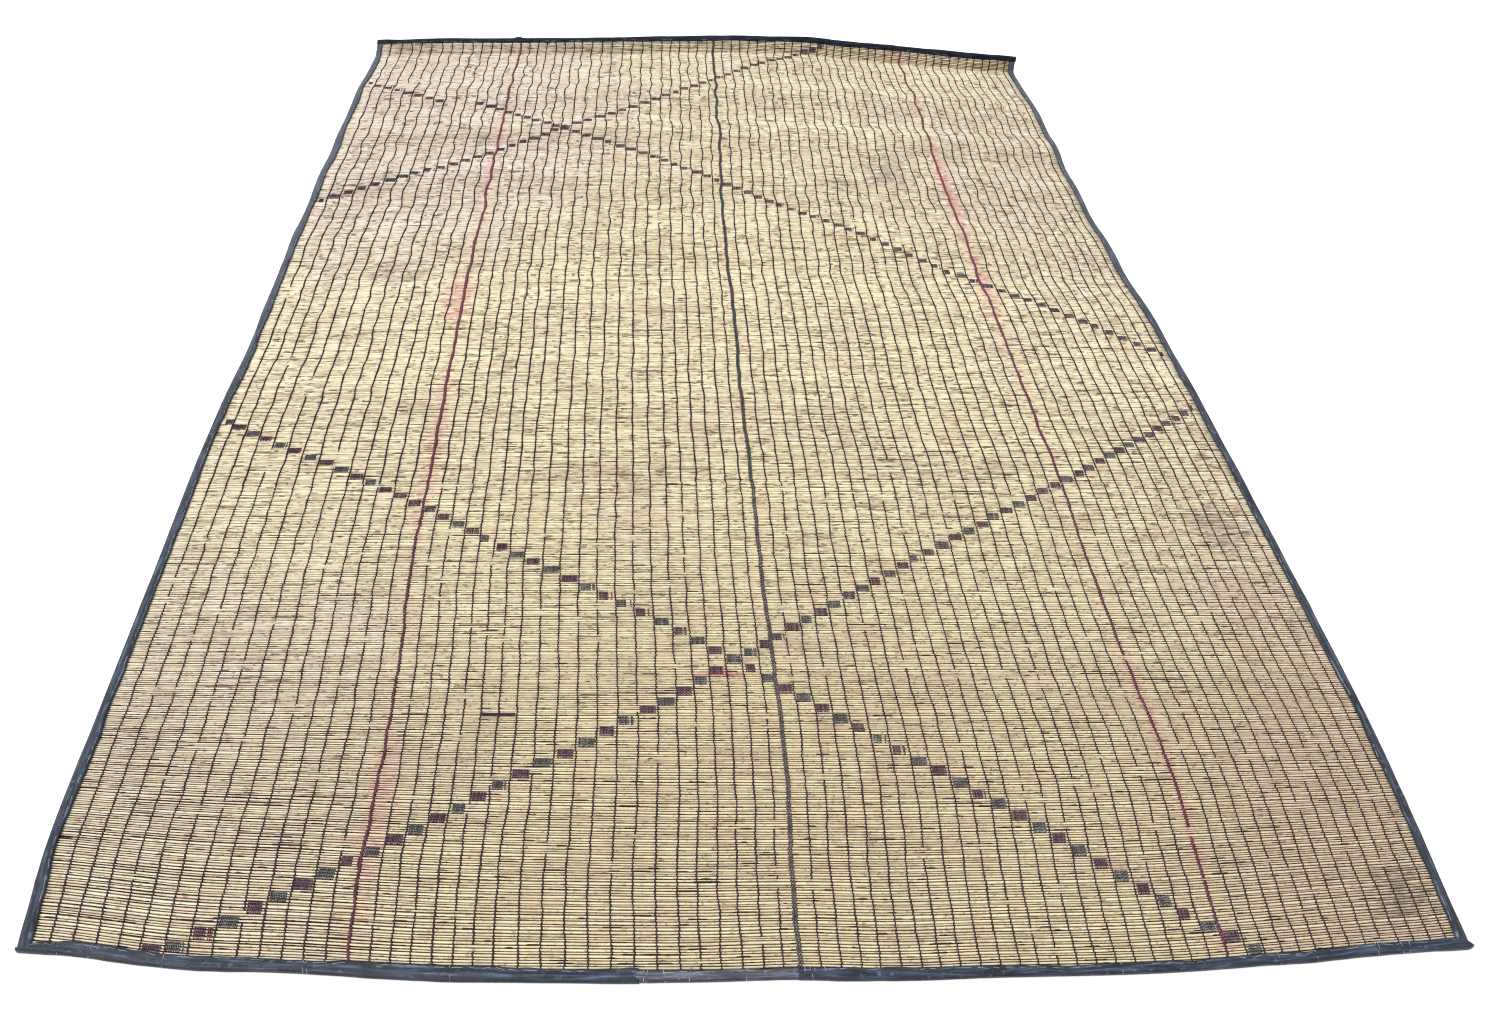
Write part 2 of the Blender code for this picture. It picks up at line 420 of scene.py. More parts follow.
def lofts(name, bundles, finish, flat_sides=(2,)):
    """One piece from bundles of closed bars. A bundle is (points, weave): points has the shape bars,
    stations, corners, 3, and weave, the map's two values for each point, has 2 in place of 3. Three
    corners make two smooth upper sides and a flat one below, which is side 2."""
    coordinates, maps, corners, sizes, smooth = [], [], [], [], []
    first = 0
    for points, weave in bundles:
        bars, stations, around = points.shape[:3]
        index = first + np.arange(bars * stations * around).reshape(bars, stations, around)
        first += index.size
        coordinates.append(points.reshape(-1, 3))
        maps.append(weave.reshape(-1, 2))
        here, there = index[:, :-1], index[:, 1:]
        faces = np.stack([here, np.roll(here, -1, 2), np.roll(there, -1, 2), there], -1)
        corners.append(faces.reshape(-1))
        sizes.append(np.full(faces.size // 4, 4))
        is_smooth = np.ones(faces.shape[:3], bool)
        is_smooth[:, :, list(flat_sides)] = False
        smooth.append(is_smooth.ravel())
        for cap in (index[:, 0, ::-1], index[:, -1]):
            corners.append(cap.reshape(-1))
            sizes.append(np.full(bars, around))
            smooth.append(np.zeros(bars, bool))
    coordinates, maps = np.concatenate(coordinates), np.concatenate(maps)
    corners, sizes = np.concatenate(corners), np.concatenate(sizes)
    mesh = bpy.data.meshes.new(name)
    mesh.vertices.add(len(coordinates))
    mesh.vertices.foreach_set("co", coordinates.astype(np.float32).ravel())
    mesh.loops.add(len(corners))
    mesh.loops.foreach_set("vertex_index", corners.astype(np.int32))
    mesh.polygons.add(len(sizes))
    starts = np.concatenate([[0], np.cumsum(sizes)[:-1]])
    mesh.polygons.foreach_set("loop_start", starts.astype(np.int32))
    mesh.update(calc_edges=True)
    mesh.polygons.foreach_set("use_smooth", np.concatenate(smooth))
    layer = mesh.uv_layers.new(name="weave")
    layer.uv.foreach_set("vector", maps[corners].astype(np.float32).ravel())
    mesh.materials.append(finish)
    mesh.validate()
    piece = bpy.data.objects.new(name, mesh)
    bpy.context.scene.collection.objects.link(piece)
    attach(piece, "root")
    return piece


# Wiring of materials


class Wiring:
    """Short words for shader nodes. A value is a number, a colour or another node's socket."""

    def __init__(self, tree):
        self.tree = tree

    def node(self, kind, **settings):
        made = self.tree.nodes.new(kind)
        for name, value in settings.items():
            setattr(made, name, value)
        return made

    def feed(self, socket, value):
        if isinstance(value, bpy.types.NodeSocket):
            self.tree.links.new(value, socket)
        else:
            socket.default_value = value

    def math(self, operation, *values):
        made = self.node("ShaderNodeMath", operation=operation)
        for socket, value in zip(made.inputs, values):
            self.feed(socket, value)
        return made.outputs[0]

    def plus(self, *values):
        return reduce(partial(self.math, "ADD"), values)

    def times(self, *values):
        return reduce(partial(self.math, "MULTIPLY"), values)

    def minus(self, a, b):
        return self.math("SUBTRACT", a, b)

    def apart(self, a, b):
        return self.math("ABSOLUTE", self.minus(a, b))

    def mix(self, share, a, b, blend="MIX"):
        made = self.node("ShaderNodeMix", data_type="RGBA", blend_type=blend)
        for socket, value in ((made.inputs[0], share), (made.inputs[6], a), (made.inputs[7], b)):
            self.feed(socket, value)
        return made.outputs[2]

    def ramp(self, value, start, end, low=0.0, high=1.0):
        """A smooth step of the value from low at start to high at end."""
        made = self.node("ShaderNodeMapRange", interpolation_type="SMOOTHSTEP")
        for socket, given in zip(made.inputs, (value, start, end, low, high)):
            self.feed(socket, given)
        return made.outputs[0]

    def vector(self, x, y, z=0.0):
        made = self.node("ShaderNodeCombineXYZ")
        for socket, value in zip(made.inputs, (x, y, z)):
            self.feed(socket, value)
        return made.outputs[0]

    def noise(self, place, scale, detail, roughness=0.5):
        made = self.node("ShaderNodeTexNoise")
        self.feed(made.inputs["Vector"], place)
        self.feed(made.inputs["Scale"], scale)
        self.feed(made.inputs["Detail"], detail)
        self.feed(made.inputs["Roughness"], roughness)
        return made.outputs["Fac"]

    def patches(self, x, x_scale, y, y_scale, detail, salt=0.0, roughness=0.5):
        """Noise over a pair of values, each with its own scale."""
        place = self.vector(self.times(x, x_scale), self.times(y, y_scale), salt)
        return self.noise(place, 1.0, detail, roughness)

    def spot(self, x, at_x, wide, y, at_y, long):
        """The squared distance from a spot's middle, which is 1 at its rim."""
        x = self.math("DIVIDE", self.minus(x, at_x), wide)
        y = self.math("DIVIDE", self.minus(y, at_y), long)
        return self.plus(self.times(x, x), self.times(y, y))

    def chance(self, x, y):
        """Three random values for a pair of whole numbers."""
        made = self.node("ShaderNodeTexWhiteNoise", noise_dimensions="3D")
        self.feed(made.inputs["Vector"], self.vector(x, y))
        parts = self.node("ShaderNodeSeparateColor")
        self.feed(parts.inputs[0], made.outputs["Color"])
        return parts.outputs

    def weave(self):
        """The map's two values: the lace number and the reed number."""
        parts = self.node("ShaderNodeSeparateXYZ")
        self.feed(parts.inputs[0], self.node("ShaderNodeUVMap", uv_map="weave").outputs[0])
        return parts.outputs[0], parts.outputs[1]

    def group(self, made_group, **values):
        made = self.node("ShaderNodeGroup", node_tree=made_group)
        for name, value in values.items():
            self.feed(made.inputs[name.replace("_", " ")], value)
        return made.outputs

    def bump(self, shader, height, strength, distance):
        made = self.node("ShaderNodeBump")
        made.inputs["Strength"].default_value = strength
        made.inputs["Distance"].default_value = distance
        self.feed(made.inputs["Height"], height)
        self.feed(shader.inputs["Normal"], made.outputs[0])


def new_group(name, inputs, outputs):
    """A node group with named sockets. Returns it, its wiring and its two ends."""
    made = bpy.data.node_groups.new(name, "ShaderNodeTree")
    for socket, kind, value in inputs:
        new = made.interface.new_socket(socket, in_out="INPUT", socket_type=kind)
        if value is not None:
            new.default_value = value
    for socket, kind in outputs:
        made.interface.new_socket(socket, in_out="OUTPUT", socket_type=kind)
    wiring = Wiring(made)
    return made, wiring, wiring.node("NodeGroupInput").outputs, wiring.node("NodeGroupOutput").inputs


def streaks_group():
    """Marks that run along a reed or a thong: a mask that differs from strand to strand."""
    made, wire, given, out = new_group(
        "strand_marks",
        (
            ("Along Strand", "NodeSocketFloat", None),
            ("Strand Number", "NodeSocketFloat", None),
            ("Across Strand", "NodeSocketFloat", 0.0),
            ("Marks Per Step", "NodeSocketFloat", 1.0),
            ("Threshold", "NodeSocketFloat", 0.6),
            ("Softness", "NodeSocketFloat", 0.08),
        ),
        (("Mask", "NodeSocketFloat"), ("Noise", "NodeSocketFloat")),
    )
    x = wire.times(given["Along Strand"], given["Marks Per Step"])
    across = wire.times(given["Across Strand"], 0.8)
    y = wire.math("MULTIPLY_ADD", given["Strand Number"], STRAND_APART, across)
    noise = wire.noise(wire.vector(x, y), 1.0, 2.0)
    end = wire.plus(given["Threshold"], given["Softness"])
    wire.feed(out["Mask"], wire.ramp(noise, given["Threshold"], end))
    wire.feed(out["Noise"], noise)
    return made


def smudge_group():
    """A soft round stain at a lace and a reed, broken up by noise."""
    made, wire, given, out = new_group(
        "smudge",
        (
            ("Lace", "NodeSocketFloat", None),
            ("Reed", "NodeSocketFloat", None),
            ("At Lace", "NodeSocketFloat", None),
            ("At Reed", "NodeSocketFloat", None),
            ("Laces Wide", "NodeSocketFloat", 2.0),
            ("Reeds Long", "NodeSocketFloat", 12.0),
        ),
        (("Mask", "NodeSocketFloat"),),
    )
    far = wire.spot(
        given["Lace"], given["At Lace"], given["Laces Wide"],
        given["Reed"], given["At Reed"], given["Reeds Long"],
    )
    rough = wire.patches(given["Lace"], 0.9, wire.math("FLOOR", given["Reed"]), STRAND_APART, 2.0)
    edge = wire.plus(far, wire.times(wire.minus(rough, 0.45), 4.5))
    torn, whole = wire.ramp(edge, 0.0, 0.9, 1.0, 0.0), wire.ramp(far, 0.2, 1.1, 1.0, 0.0)
    wire.feed(out["Mask"], wire.times(torn, whole))
    return made


def hide_grain_group():
    """Leather's creases and worn, paler patches."""
    made, wire, given, out = new_group(
        "hide_grain",
        (
            ("Place", "NodeSocketVector", None),
            ("Grain Size", "NodeSocketFloat", 0.002),
            ("Wear Size", "NodeSocketFloat", 0.03),
        ),
        (("Grain", "NodeSocketFloat"), ("Wear", "NodeSocketFloat")),
    )
    grain = wire.noise(given["Place"], wire.math("DIVIDE", 1.0, given["Grain Size"]), 3.0, 0.6)
    wear = wire.noise(given["Place"], wire.math("DIVIDE", 1.0, given["Wear Size"]), 4.0, 0.6)
    wire.feed(out["Grain"], grain)
    wire.feed(out["Wear"], wire.ramp(wear, 0.42, 0.68))
    return made


def new_material(name, roughness):
    made = bpy.data.materials.new(name)
    made.use_nodes = True
    shader = made.node_tree.nodes["Principled BSDF"]
    shader.inputs["Roughness"].default_value = roughness
    return made, Wiring(made.node_tree), shader


# What the finishes are made from

# A step in noise from strand to strand that is long enough for each to have marks of its own
STRAND_APART = 7.31

# The reeds in the bend of the turned-up end
BEND = (703.0, 711.0)

STRAW = (0.83, 0.742, 0.508, 1)
TAN = (0.50, 0.37, 0.22, 1)
WARM_TAN = (0.50, 0.37, 0.25, 1)
DULL_TAN = (0.55, 0.42, 0.33, 1)
# A painted highlight on the stems
PAINTED_HIGHLIGHT_STRAW = (0.96, 0.90, 0.72, 1)
DIRT = (0.10, 0.085, 0.08, 1)
BLED_DYE = (0.62, 0.15, 0.20, 1)
GAP_SHADE_AND_DIRT = (0.045, 0.024, 0.020, 1)
DEEP_SHADE = (0.012, 0.008, 0.008, 1)
BLACK = (0.0, 0.0, 0.0, 1)
TURNED_UP_SHADE = (0.99, 0.93, 0.90, 1)

# Stains on the reeds: Stain(lace, along, laces wide, reeds long, strength)
Stain = namedtuple("Stain", "lace along wide long strength")
DARK_STAINS = (
    Stain(67.5, 0.09, 3.2, 16, 0.58),
    Stain(66.5, 0.88, 3.0, 26, 0.5),
    Stain(50.5, 2.30, 4.0, 30, 0.45),
    Stain(45.5, 2.20, 3.0, 14, 0.35),
    Stain(7.5, 1.77, 4.0, 16, 0.4),
    Stain(35.3, 2.545, 0.5, 3, 1.0),
    Stain(29.6, 1.63, 0.4, 3, 1.0),
    Stain(59.8, 2.265, 0.4, 5, 1.0),
    Stain(65.2, 1.344, 0.4, 3, 0.9),
    Stain(11.3, 2.44, 1.6, 11, 0.5),
)
PINK_STAINS = (
    Stain(12.6, 1.66, 1.9, 34, 0.5),
    Stain(13.0, 2.35, 0.8, 90, 0.3),
    Stain(13.0, 1.15, 0.8, 110, 0.3),
    Stain(56.2, 2.20, 1.0, 90, 0.45),
    Stain(56.2, 1.72, 0.9, 60, 0.4),
    Stain(56.0, 0.36, 0.5, 90, 0.35),
    Stain(13.3, 0.25, 1.0, 60, 0.28),
    Stain(31.0, 0.525, 3.0, 2.5, 0.6),
)

# Places where a stem is lost and the gap stands open, shown as deep shade painted over the stem there: the
# middle lace, along, half of its laces
LostStem = namedtuple("LostStem", "lace along half")
LOST_STEMS = (
    LostStem(19.0, 0.4390, 1.1),
    LostStem(-0.6, 0.1790, 0.5),
    LostStem(28.4, 0.9963, 0.5),
)

# Broad tints: Tint(lace, along, laces wide, reeds long, strength, colour)
Tint = namedtuple("Tint", "lace along wide long strength colour")
TINTS = (
    Tint(34, 1.35, 34, 330, 0.55, (0.80, 0.70, 0.42, 1)),
    Tint(6, 2.55, 24, 230, 0.85, (0.82, 0.70, 0.62, 1)),
    Tint(2, 0.35, 20, 130, 0.40, (0.78, 0.66, 0.60, 1)),
    Tint(36, 0.15, 44, 150, 0.50, (0.74, 0.60, 0.36, 1)),
    Tint(74, 0.18, 26, 165, 0.70, (0.57, 0.43, 0.31, 1)),
    Tint(74, 0.80, 18, 120, 0.26, (0.58, 0.44, 0.31, 1)),
    Tint(70, 2.20, 24, 230, 0.55, (0.66, 0.54, 0.42, 1)),
    Tint(16, 2.46, 20, 14, 0.30, (0.50, 0.36, 0.26, 1)),
)

# Marks along single stems, and along bunches of stems that look like one from afar. An offset gives
# each kind marks of its own, often is how many there are to a lace space, and spread is a ramp along
# the mat: the reeds where it starts and ends, and its values before and after them, which for a bunch
# are 0 and its strength
Mark = namedtuple("Mark", "offset often threshold soft strength spread colour")
STEM_MARKS = (
    Mark(0.37, 1.3, 0.58, 0.12, 0.65, (80.0, 300.0, 0.6, 1.0), (0.34, 0.20, 0.11, 1)),
    Mark(0.61, 0.8, 0.60, 0.10, 0.30, (80.0, 300.0, 0.6, 1.0), (0.47, 0.26, 0.22, 1)),
    Mark(0.83, 2.6, 0.61, 0.05, 0.80, (40.0, 260.0, 0.45, 1.0), (0.11, 0.08, 0.06, 1)),
    Mark(0.19, 2.1, 0.61, 0.06, 0.50, (40.0, 260.0, 0.45, 1.0), (0.30, 0.21, 0.15, 1)),
    Mark(0.47, 2.9, 0.64, 0.04, 0.90, (100.0, 300.0, 0.6, 0.0), (0.20, 0.06, 0.06, 1)),
)
BUNCH_MARKS = (
    Mark(0.29, 1.7, 0.64, 0.04, 0.55, (90.0, 300.0), (0.97, 0.93, 0.80, 1)),
    Mark(0.71, 1.9, 0.64, 0.04, 0.75, (90.0, 300.0), (0.20, 0.13, 0.08, 1)),
)

# Thongs: their dark and pale colours, how much of the pale one and of their twist's dark bands they
# show, and the colour that takes over towards the far end, and how much
Thong = namedtuple("Thong", "name dark pale pale_share hatched far far_share")
PLAIN_FAR = ((0.02, 0.012, 0.018, 1), 0.3)
THONGS = (
    Thong(
        "brown_thong", (0.030, 0.016, 0.022, 1), (0.100, 0.064, 0.070, 1), 0.4,
        0.0, (0.010, 0.007, 0.009, 1), 0.85,
    ),
    Thong(
        "magenta_thong", (0.085, 0.022, 0.040, 1), (0.21, 0.06, 0.095, 1), 0.6,
        0.0, (0.145, 0.034, 0.062, 1), 0.8,
    ),
    Thong(
        "slate_thong", (0.118, 0.108, 0.110, 1), (0.27, 0.25, 0.245, 1), 0.5,
        0.75, (0.040, 0.040, 0.044, 1), 0.45,
    ),
    Thong("plum_thong", (0.105, 0.052, 0.082, 1), (0.30, 0.19, 0.25, 1), 0.6, 0.45, *PLAIN_FAR),
    Thong("rose_thong", (0.17, 0.045, 0.065, 1), (0.42, 0.17, 0.20, 1), 0.6, 0.0, *PLAIN_FAR),
    Thong("charcoal_thong", (0.11, 0.105, 0.11, 1), (0.38, 0.37, 0.37, 1), 0.7, 0.6, *PLAIN_FAR),
)
TWIST = (0.02, 0.015, 0.02, 1)

# Leathers of the strips: their colours in the painted shade of the wrinkles and on their painted
# highlights, how much they are faded away from the near edge, and how glossy they are
Leather = namedtuple("Leather", "name dark pale faded gloss")
LEATHERS = (
    Leather("slate_leather", (0.007, 0.010, 0.017, 1), (0.040, 0.049, 0.074, 1), 0.35, 0.35),
    Leather("dark_leather", (0.004, 0.008, 0.017, 1), (0.036, 0.048, 0.079, 1), 0.0, 0.35),
    Leather("grey_leather", (0.034, 0.035, 0.046, 1), (0.110, 0.111, 0.142, 1), 0.0, 0.35),
    Leather("blue_leather", (0.004, 0.008, 0.018, 1), (0.036, 0.048, 0.080, 1), 0.35, 0.35),
    Leather("black_leather", (0.002, 0.003, 0.006, 1), (0.012, 0.018, 0.034, 1), 0.0, 0.12),
)
FADED_LEATHER = (0.095, 0.105, 0.140, 1)
# Painted shadow along the strips' cut edge and painted shade in their outer fold
CUT_EDGE_SHADOW = (0.006, 0.007, 0.010, 1)
OUTER_FOLD_SHADE = (0.008, 0.011, 0.018, 1)
CLEAN_THREAD = (0.44, 0.47, 0.53, 1)
SOILED_THREAD = (0.20, 0.22, 0.26, 1)


def reed_at(along):
    """The reed number at a distance along the mat."""
    return (along - END) / PITCH


def tinted(wire, marks, lace, reed, run):
    """Broad tints of the whole mat, then each stem's own tone, which changes along it."""
    number = wire.math("FLOOR", reed)
    colour = STRAW
    for tint in TINTS:
        far = wire.spot(lace, tint.lace, tint.wide, reed, reed_at(tint.along), tint.long)
        colour = wire.mix(wire.ramp(far, 0.0, 1.0, tint.strength, 0.0), colour, tint.colour)
    tone = wire.group(marks, Along_Strand=run, Strand_Number=number, Marks_Per_Step=0.45)["Noise"]
    tone = wire.ramp(tone, 0.54, 0.36, 0.0, wire.ramp(reed, 80.0, 260.0, 0.5, 0.75))
    colour = wire.mix(tone, colour, TAN)
    stretch = wire.patches(lace, 0.11, number, 5.17, 1.0, salt=3.0)
    colour = wire.mix(wire.ramp(stretch, 0.44, 0.68, 0.0, 0.45), colour, WARM_TAN)
    field = wire.patches(lace, 0.13, reed, 0.02, 3.0)
    return wire.mix(wire.ramp(field, 0.45, 0.72, 0.0, 0.33), colour, DULL_TAN)


def marked(wire, marks, colour, fibre, reed, run):
    """Painted highlights on pale stretches, and brown, reddish and grey marks along single stems and
    bunches.
    """
    number = wire.math("FLOOR", reed)
    # Painted highlights along the stems, fainter by the near edge
    painted_highlight = wire.times(wire.ramp(fibre, 0.48, 0.64), wire.ramp(reed, 60.0, 360.0, 0.30, 0.7))
    colour = wire.mix(painted_highlight, colour, PAINTED_HIGHLIGHT_STRAW)
    for mark in STEM_MARKS:
        mask = wire.group(
            marks, Along_Strand=run, Strand_Number=wire.plus(number, mark.offset),
            Across_Strand=wire.math("FRACT", reed), Marks_Per_Step=mark.often,
            Threshold=mark.threshold, Softness=mark.soft,
        )["Mask"]
        share = wire.times(mask, mark.strength, wire.ramp(reed, *mark.spread))
        colour = wire.mix(share, colour, mark.colour)

    # A bunch is one stem near by, two from the middle on and three at the far end
    two = wire.math("GREATER_THAN", number, 380.0)
    three = wire.math("GREATER_THAN", number, 560.0)
    stems = wire.plus(two, three, 1.0)
    bunch = wire.times(wire.math("FLOOR", wire.math("DIVIDE", number, stems)), stems)
    for mark in BUNCH_MARKS:
        mask = wire.group(
            marks, Along_Strand=run, Strand_Number=wire.plus(bunch, mark.offset),
            Marks_Per_Step=mark.often, Threshold=mark.threshold, Softness=mark.soft,
        )["Mask"]
        fewer_at_end = wire.ramp(reed, 690.0, 704.0, 1.0, 0.2)
        share = wire.times(mask, wire.ramp(reed, *mark.spread, 0.0, mark.strength), fewer_at_end)
        colour = wire.mix(share, colour, mark.colour)
    return colour


def darkened(wire, colour, lace, reed):
    """The far half and the nearest part are a little darker, and the turned-up end's right part has painted
    shade.
    """
    far_half, nearest = wire.ramp(reed, 330.0, 560.0, 0.0, 0.15), wire.ramp(reed, 60.0, 300.0, 0.08, 0.0)
    shaded = wire.times(wire.plus(far_half, nearest), wire.ramp(reed, *BEND, 1.0, 0.5))
    colour = wire.mix(shaded, colour, BLACK)
    # Painted shade on the turned-up end's right part, which stands up steepest
    right_part = wire.ramp(lace, 30.0, 60.0, 0.10, 1.0)
    turned_up_shade = wire.times(wire.ramp(reed, BEND[0] - 1, BEND[1] + 1), right_part)
    return wire.mix(turned_up_shade, colour, TURNED_UP_SHADE, blend="MULTIPLY")


def stained(wire, smudge, colour, lace, reed):
    """Stains, and dye that has bled from the coloured laces."""
    for stains, tint in ((DARK_STAINS, DIRT), (PINK_STAINS, BLED_DYE)):
        for stain in stains:
            mask = wire.group(
                smudge, Lace=lace, Reed=reed, At_Lace=stain.lace, At_Reed=reed_at(stain.along),
                Laces_Wide=stain.wide, Reeds_Long=float(stain.long),
            )["Mask"]
            colour = wire.mix(wire.times(mask, stain.strength), colour, tint)
    return colour


def gap_shade(wire, marks, lace, reed):
    """Painted shade and dirt in the gaps between the stems: how dark they are."""
    gap = wire.math("FLOOR", wire.plus(reed, 0.5))
    gap_run = wire.times(lace, wire.ramp(gap, 60.0, 260.0, 1.0, 0.42))
    chance = wire.chance(wire.math("FLOOR", lace), gap)

    # Each gap is wide at one lace and tapers towards the next
    across = wire.math("FRACT", lace)
    flip = wire.math("GREATER_THAN", chance[0], 0.5)
    rest = wire.minus(1.0, wire.times(across, 2.0))
    taper = wire.math("POWER", wire.plus(across, wire.times(flip, rest)), 1.7)
    uneven = wire.times(wire.math("POWER", chance[1], 1.6), wire.ramp(reed, 100.0, 380.0, 0.20, 0.42))
    wedge = wire.times(taper, uneven)

    # Some run on over several laces and fade in and out, the most in the near left corner
    open_near = wire.ramp(reed, 60.0, 420.0, 0.07, 0.06)
    open_left = wire.times(wire.ramp(lace, 6.0, 24.0, 0.10, 0.0), wire.ramp(reed, 60.0, 220.0, 1.0, 0.0))
    own = wire.patches(lace, 0.14, gap, STRAND_APART, 1.0)
    own = wire.ramp(own, 0.40, 0.66, 0.1, wire.ramp(reed, 60.0, 420.0, 3.0, 2.8))
    steady = wire.math("MULTIPLY_ADD", chance[2], 0.12, wire.times(wire.plus(open_near, open_left), own))

    # A lens of dark on both sides of each lace, and short and long dashes
    to_lace = wire.apart(wire.math("FRACT", wire.plus(lace, 0.5)), 0.5)
    lens = wire.ramp(to_lace, 0.03, 0.16, wire.ramp(reed, 100.0, 300.0, 0.08, 0.22), 0.0)
    dash = wire.group(
        marks, Along_Strand=gap_run, Strand_Number=wire.plus(gap, 0.15),
        Marks_Per_Step=2.4, Threshold=0.56, Softness=0.07,
    )["Mask"]
    long_dash = wire.group(
        marks, Along_Strand=gap_run, Strand_Number=wire.plus(gap, 0.55),
        Marks_Per_Step=0.5, Threshold=0.61, Softness=0.05,
    )["Mask"]
    dash_share = wire.times(wire.ramp(reed, 40.0, 260.0, 0.45, 1.0), 0.36)
    share = wire.plus(wedge, lens, wire.math("MULTIPLY_ADD", dash, dash_share, steady))
    share = wire.math("MULTIPLY_ADD", long_dash, 0.50, share)

    # The foot of each stem has painted shade all along, more of it the farther it is from the near edge,
    # and little of it past the bend
    away = wire.math("DIVIDE", reed, float(REEDS))
    foot = wire.times(away, wire.math("MULTIPLY_ADD", away, -0.16, 0.49), wire.ramp(reed, *BEND, 1.0, 0.2))
    half = wire.math("MULTIPLY_ADD", wire.math("MINIMUM", share, 0.8), wire.minus(1.0, foot), foot)
    start = wire.minus(1.0, half)
    from_crown = wire.times(wire.apart(wire.math("FRACT", reed), 0.5), 2.0)
    shade = wire.ramp(from_crown, start, wire.plus(start, 0.14))
    return wire.times(shade, wire.ramp(reed, 60.0, 420.0, 0.94, 0.97))


def reed_finish(marks, smudge):
    """Pale dry stems. A ramp over the reed number is a change along the mat, from near to far."""
    made, wire, shader = new_material("pale_dry_reed", 0.5)
    lace, reed = wire.weave()
    run = wire.times(lace, wire.ramp(wire.math("FLOOR", reed), 60.0, 260.0, 1.0, 0.42))
    fibre = wire.patches(lace, 1.1, reed, 4.0, 3.0)
    colour = tinted(wire, marks, lace, reed, run)
    colour = marked(wire, marks, colour, fibre, reed, run)
    colour = darkened(wire, colour, lace, reed)
    colour = stained(wire, smudge, colour, lace, reed)
    # Painted shade and dirt in the gaps between the stems
    colour = wire.mix(gap_shade(wire, marks, lace, reed), colour, GAP_SHADE_AND_DIRT)
    # Deep shade painted where a stem is lost
    for lost in LOST_STEMS:
        beside = wire.ramp(wire.apart(lace, lost.lace), lost.half - 0.2, lost.half, 0.97, 0.0)
        before = wire.ramp(wire.apart(reed, reed_at(lost.along)), 0.6, 0.8, 1.0, 0.0)
        colour = wire.mix(wire.times(beside, before), colour, DEEP_SHADE)
    wire.feed(shader.inputs["Base Color"], colour)
    wire.feed(shader.inputs["Roughness"], wire.ramp(fibre, 0.3, 0.7, 0.6, 0.42))
    wire.bump(shader, fibre, 0.35, 0.0004)
    return made


def thong_finish(thong, grain):
    """Leather thong with painted shade where it dives between the stems."""
    made, wire, shader = new_material(thong.name, 0.75)
    shader.inputs["Specular IOR Level"].default_value = 0.25
    lace, reed = wire.weave()
    place = wire.node("ShaderNodeTexCoord").outputs["Object"]
    worn = wire.group(grain, Place=place, Grain_Size=0.0015, Wear_Size=0.012)
    colour = wire.mix(wire.times(worn["Wear"], thong.pale_share), thong.dark, thong.pale)
    crown = wire.apart(wire.math("FRACT", reed), 0.5)
    # Painted shade where the thong dives between the stems
    colour = wire.mix(wire.ramp(crown, 0.18, 0.42, 0.0, 0.75), colour, DEEP_SHADE)
    colour = wire.mix(wire.ramp(reed, 100.0, 420.0, 0.0, thong.far_share), colour, thong.far)
    if thong.hatched:
        twist = wire.math("SINE", wire.plus(wire.times(reed, 2 * math.pi), wire.times(lace, 60.0)))
        colour = wire.mix(wire.ramp(twist, 0.1, 0.7, 0.0, thong.hatched), colour, TWIST)
    wire.feed(shader.inputs["Base Color"], colour)
    wire.bump(shader, worn["Grain"], 0.4, 0.0003)
    return made


def brighter(colour, times):
    return [times * value for value in colour[:3]] + [1]


def binding_finish(leather, grain):
    """Leather with painted highlights on its wrinkles' crests and painted shade in them, at its cut edge
    and at its fold.
    """
    made, wire, shader = new_material(leather.name, 0.5)
    shader.inputs["Specular IOR Level"].default_value = leather.gloss
    place = wire.node("ShaderNodeTexCoord").outputs["Object"]
    fine = wire.group(grain, Place=place, Grain_Size=0.0035, Wear_Size=0.022)
    broad = wire.group(grain, Place=place, Grain_Size=0.015, Wear_Size=0.25)
    inward, run = wire.weave()
    crease = wire.patches(run, 0.07, inward, 4.0, 4.0, roughness=0.6)
    crumple = wire.patches(run, 0.30, inward, 1.6, 5.0, salt=7.0, roughness=0.65)
    # Painted light and shade on the creases: the dark colour in them, the pale one on their crests
    colour = wire.mix(wire.ramp(crease, 0.42, 0.60), leather.dark, leather.pale)
    # Painted shade in the crumples, painted highlights on the creases and crumples, wear, fading, and
    # painted shade at the cut edge and at the fold
    for share, tint in (
        (wire.ramp(crumple, 0.42, 0.28, 0.0, 0.75), leather.dark),
        (wire.times(wire.ramp(crease, 0.58, 0.68), 0.55), brighter(leather.pale, 4)),
        (wire.ramp(crumple, 0.56, 0.70, 0.0, 0.65), brighter(leather.pale, 3)),
        (wire.times(broad["Wear"], 0.3), brighter(leather.pale, 1.1)),
        (wire.ramp(run, 260.0, 470.0, 0.0, leather.faded), FADED_LEATHER),
        (wire.ramp(inward, 0.84, 0.96, 0.0, 0.8), CUT_EDGE_SHADOW),
        (wire.ramp(inward, 0.04, 0.26, 0.75, 0.0), OUTER_FOLD_SHADE),
    ):
        colour = wire.mix(share, colour, tint)
    wire.feed(shader.inputs["Base Color"], colour)
    wire.feed(shader.inputs["Roughness"], wire.ramp(fine["Grain"], 0.3, 0.7, 0.38, 0.6))
    wire.bump(shader, wire.math("MULTIPLY_ADD", crease, 2.0, crumple), 0.8, 0.0015)
    return made


def thread_finish():
    made, wire, shader = new_material("pale_cotton_thread", 0.8)
    place = wire.node("ShaderNodeTexCoord").outputs["Object"]
    soil = wire.ramp(wire.noise(place, 90.0, 3.0), 0.35, 0.7)
    wire.feed(shader.inputs["Base Color"], wire.mix(soil, CLEAN_THREAD, SOILED_THREAD))
    return made


# The pieces


